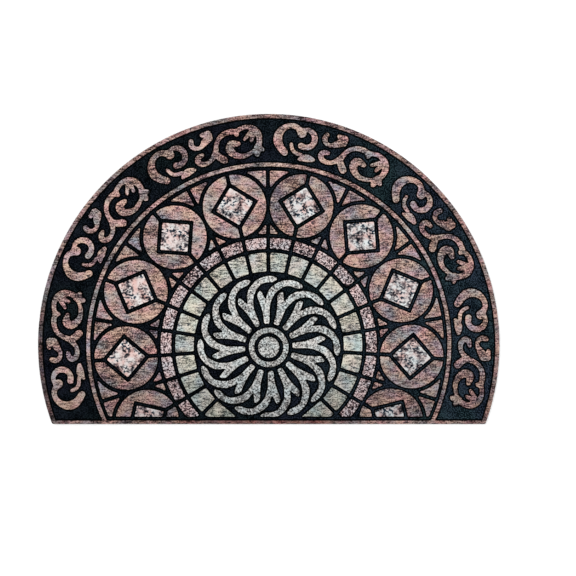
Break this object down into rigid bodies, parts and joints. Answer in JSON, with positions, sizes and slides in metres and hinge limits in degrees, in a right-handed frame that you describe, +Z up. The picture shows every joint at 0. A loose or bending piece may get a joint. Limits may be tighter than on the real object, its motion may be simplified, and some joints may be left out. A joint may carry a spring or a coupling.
{
  "type": "half-round doormat",
  "caption": "Half-round moulded rubber doormat with a flocked face, raised mosaic stones in rings and a scroll border.",
  "frame": {"origin": "middle of the mat's box, on the surface that the mat lies on", "axes": "+X along the straight edge, +Y from the straight edge to the curved one, +Z up out of the patterned face"},
  "size_m": [0.8, 0.5376, 0.006],
  "materials": {
    "black_rubber": "near-black flocked rubber ground, matte",
    "pink_marble": "flock printed as dusty pink veined marble, matte",
    "white_granite": "flock printed as white and pink granite with dark blotches, matte",
    "pink_granite": "flock printed as pink granite densely speckled black, matte",
    "pale_marble": "flock printed as pale green-beige streaked marble, matte",
    "grey_granite": "flock printed as light grey-green speckled granite, matte"
  },
  "bodies": {
    "root": {"mat": "black_rubber"}
  },
  "joints": []
}
